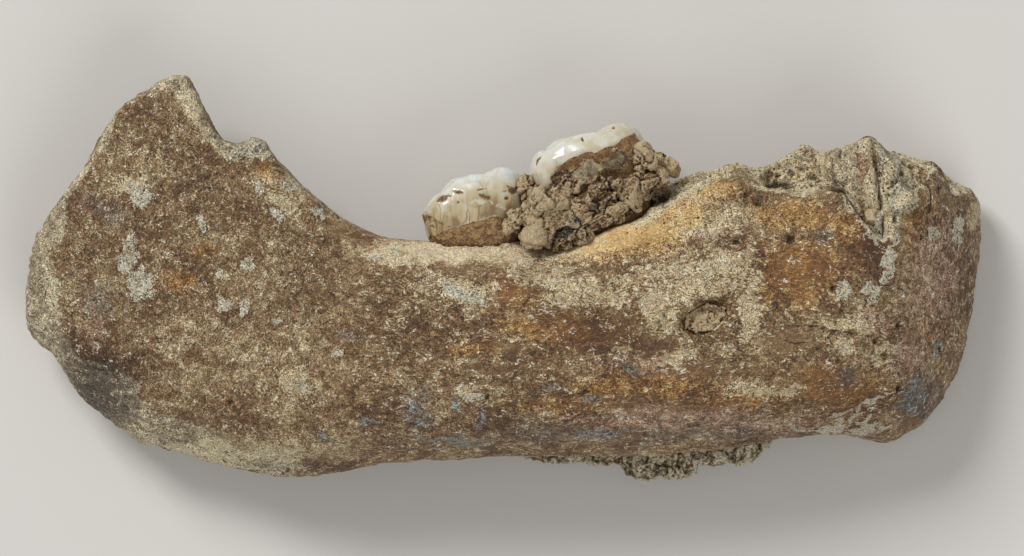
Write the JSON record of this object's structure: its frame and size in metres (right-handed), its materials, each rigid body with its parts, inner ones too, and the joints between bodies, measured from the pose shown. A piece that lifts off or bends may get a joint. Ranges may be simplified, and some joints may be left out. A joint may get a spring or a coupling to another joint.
{
  "type": "fossil half jawbone",
  "caption": "Right half of an archaic human lower jaw, a fossil with two worn molars, broken sockets and clinging sediment, lying on its tongue side.",
  "frame": {"origin": "on the surface the jaw lies on, under the middle of its bounding box", "axes": "+X forward to the chin, +Y up to the tooth row, +Z out to the cheek side, which faces up"},
  "size_m": [0.115, 0.0488, 0.0208],
  "materials": {
    "bone": "dry mineral-stained fossil bone, matt",
    "enamel": "worn tooth enamel, glossy",
    "sediment": "crumbly dry sediment, matt",
    "fragment": "broken root and bone, matt",
    "crust": "rough lime crust, matt"
  },
  "bodies": {
    "root": {"jaw_bone": "bone", "molar_first": "enamel", "molar_second": "enamel", "sediment": "sediment", "foramen_fill": "sediment", "root_fragment": "fragment", "socket_flake": "fragment", "crust_base": "crust", "crust_rear": "crust", "crust_angle": "crust"}
  },
  "joints": []
}
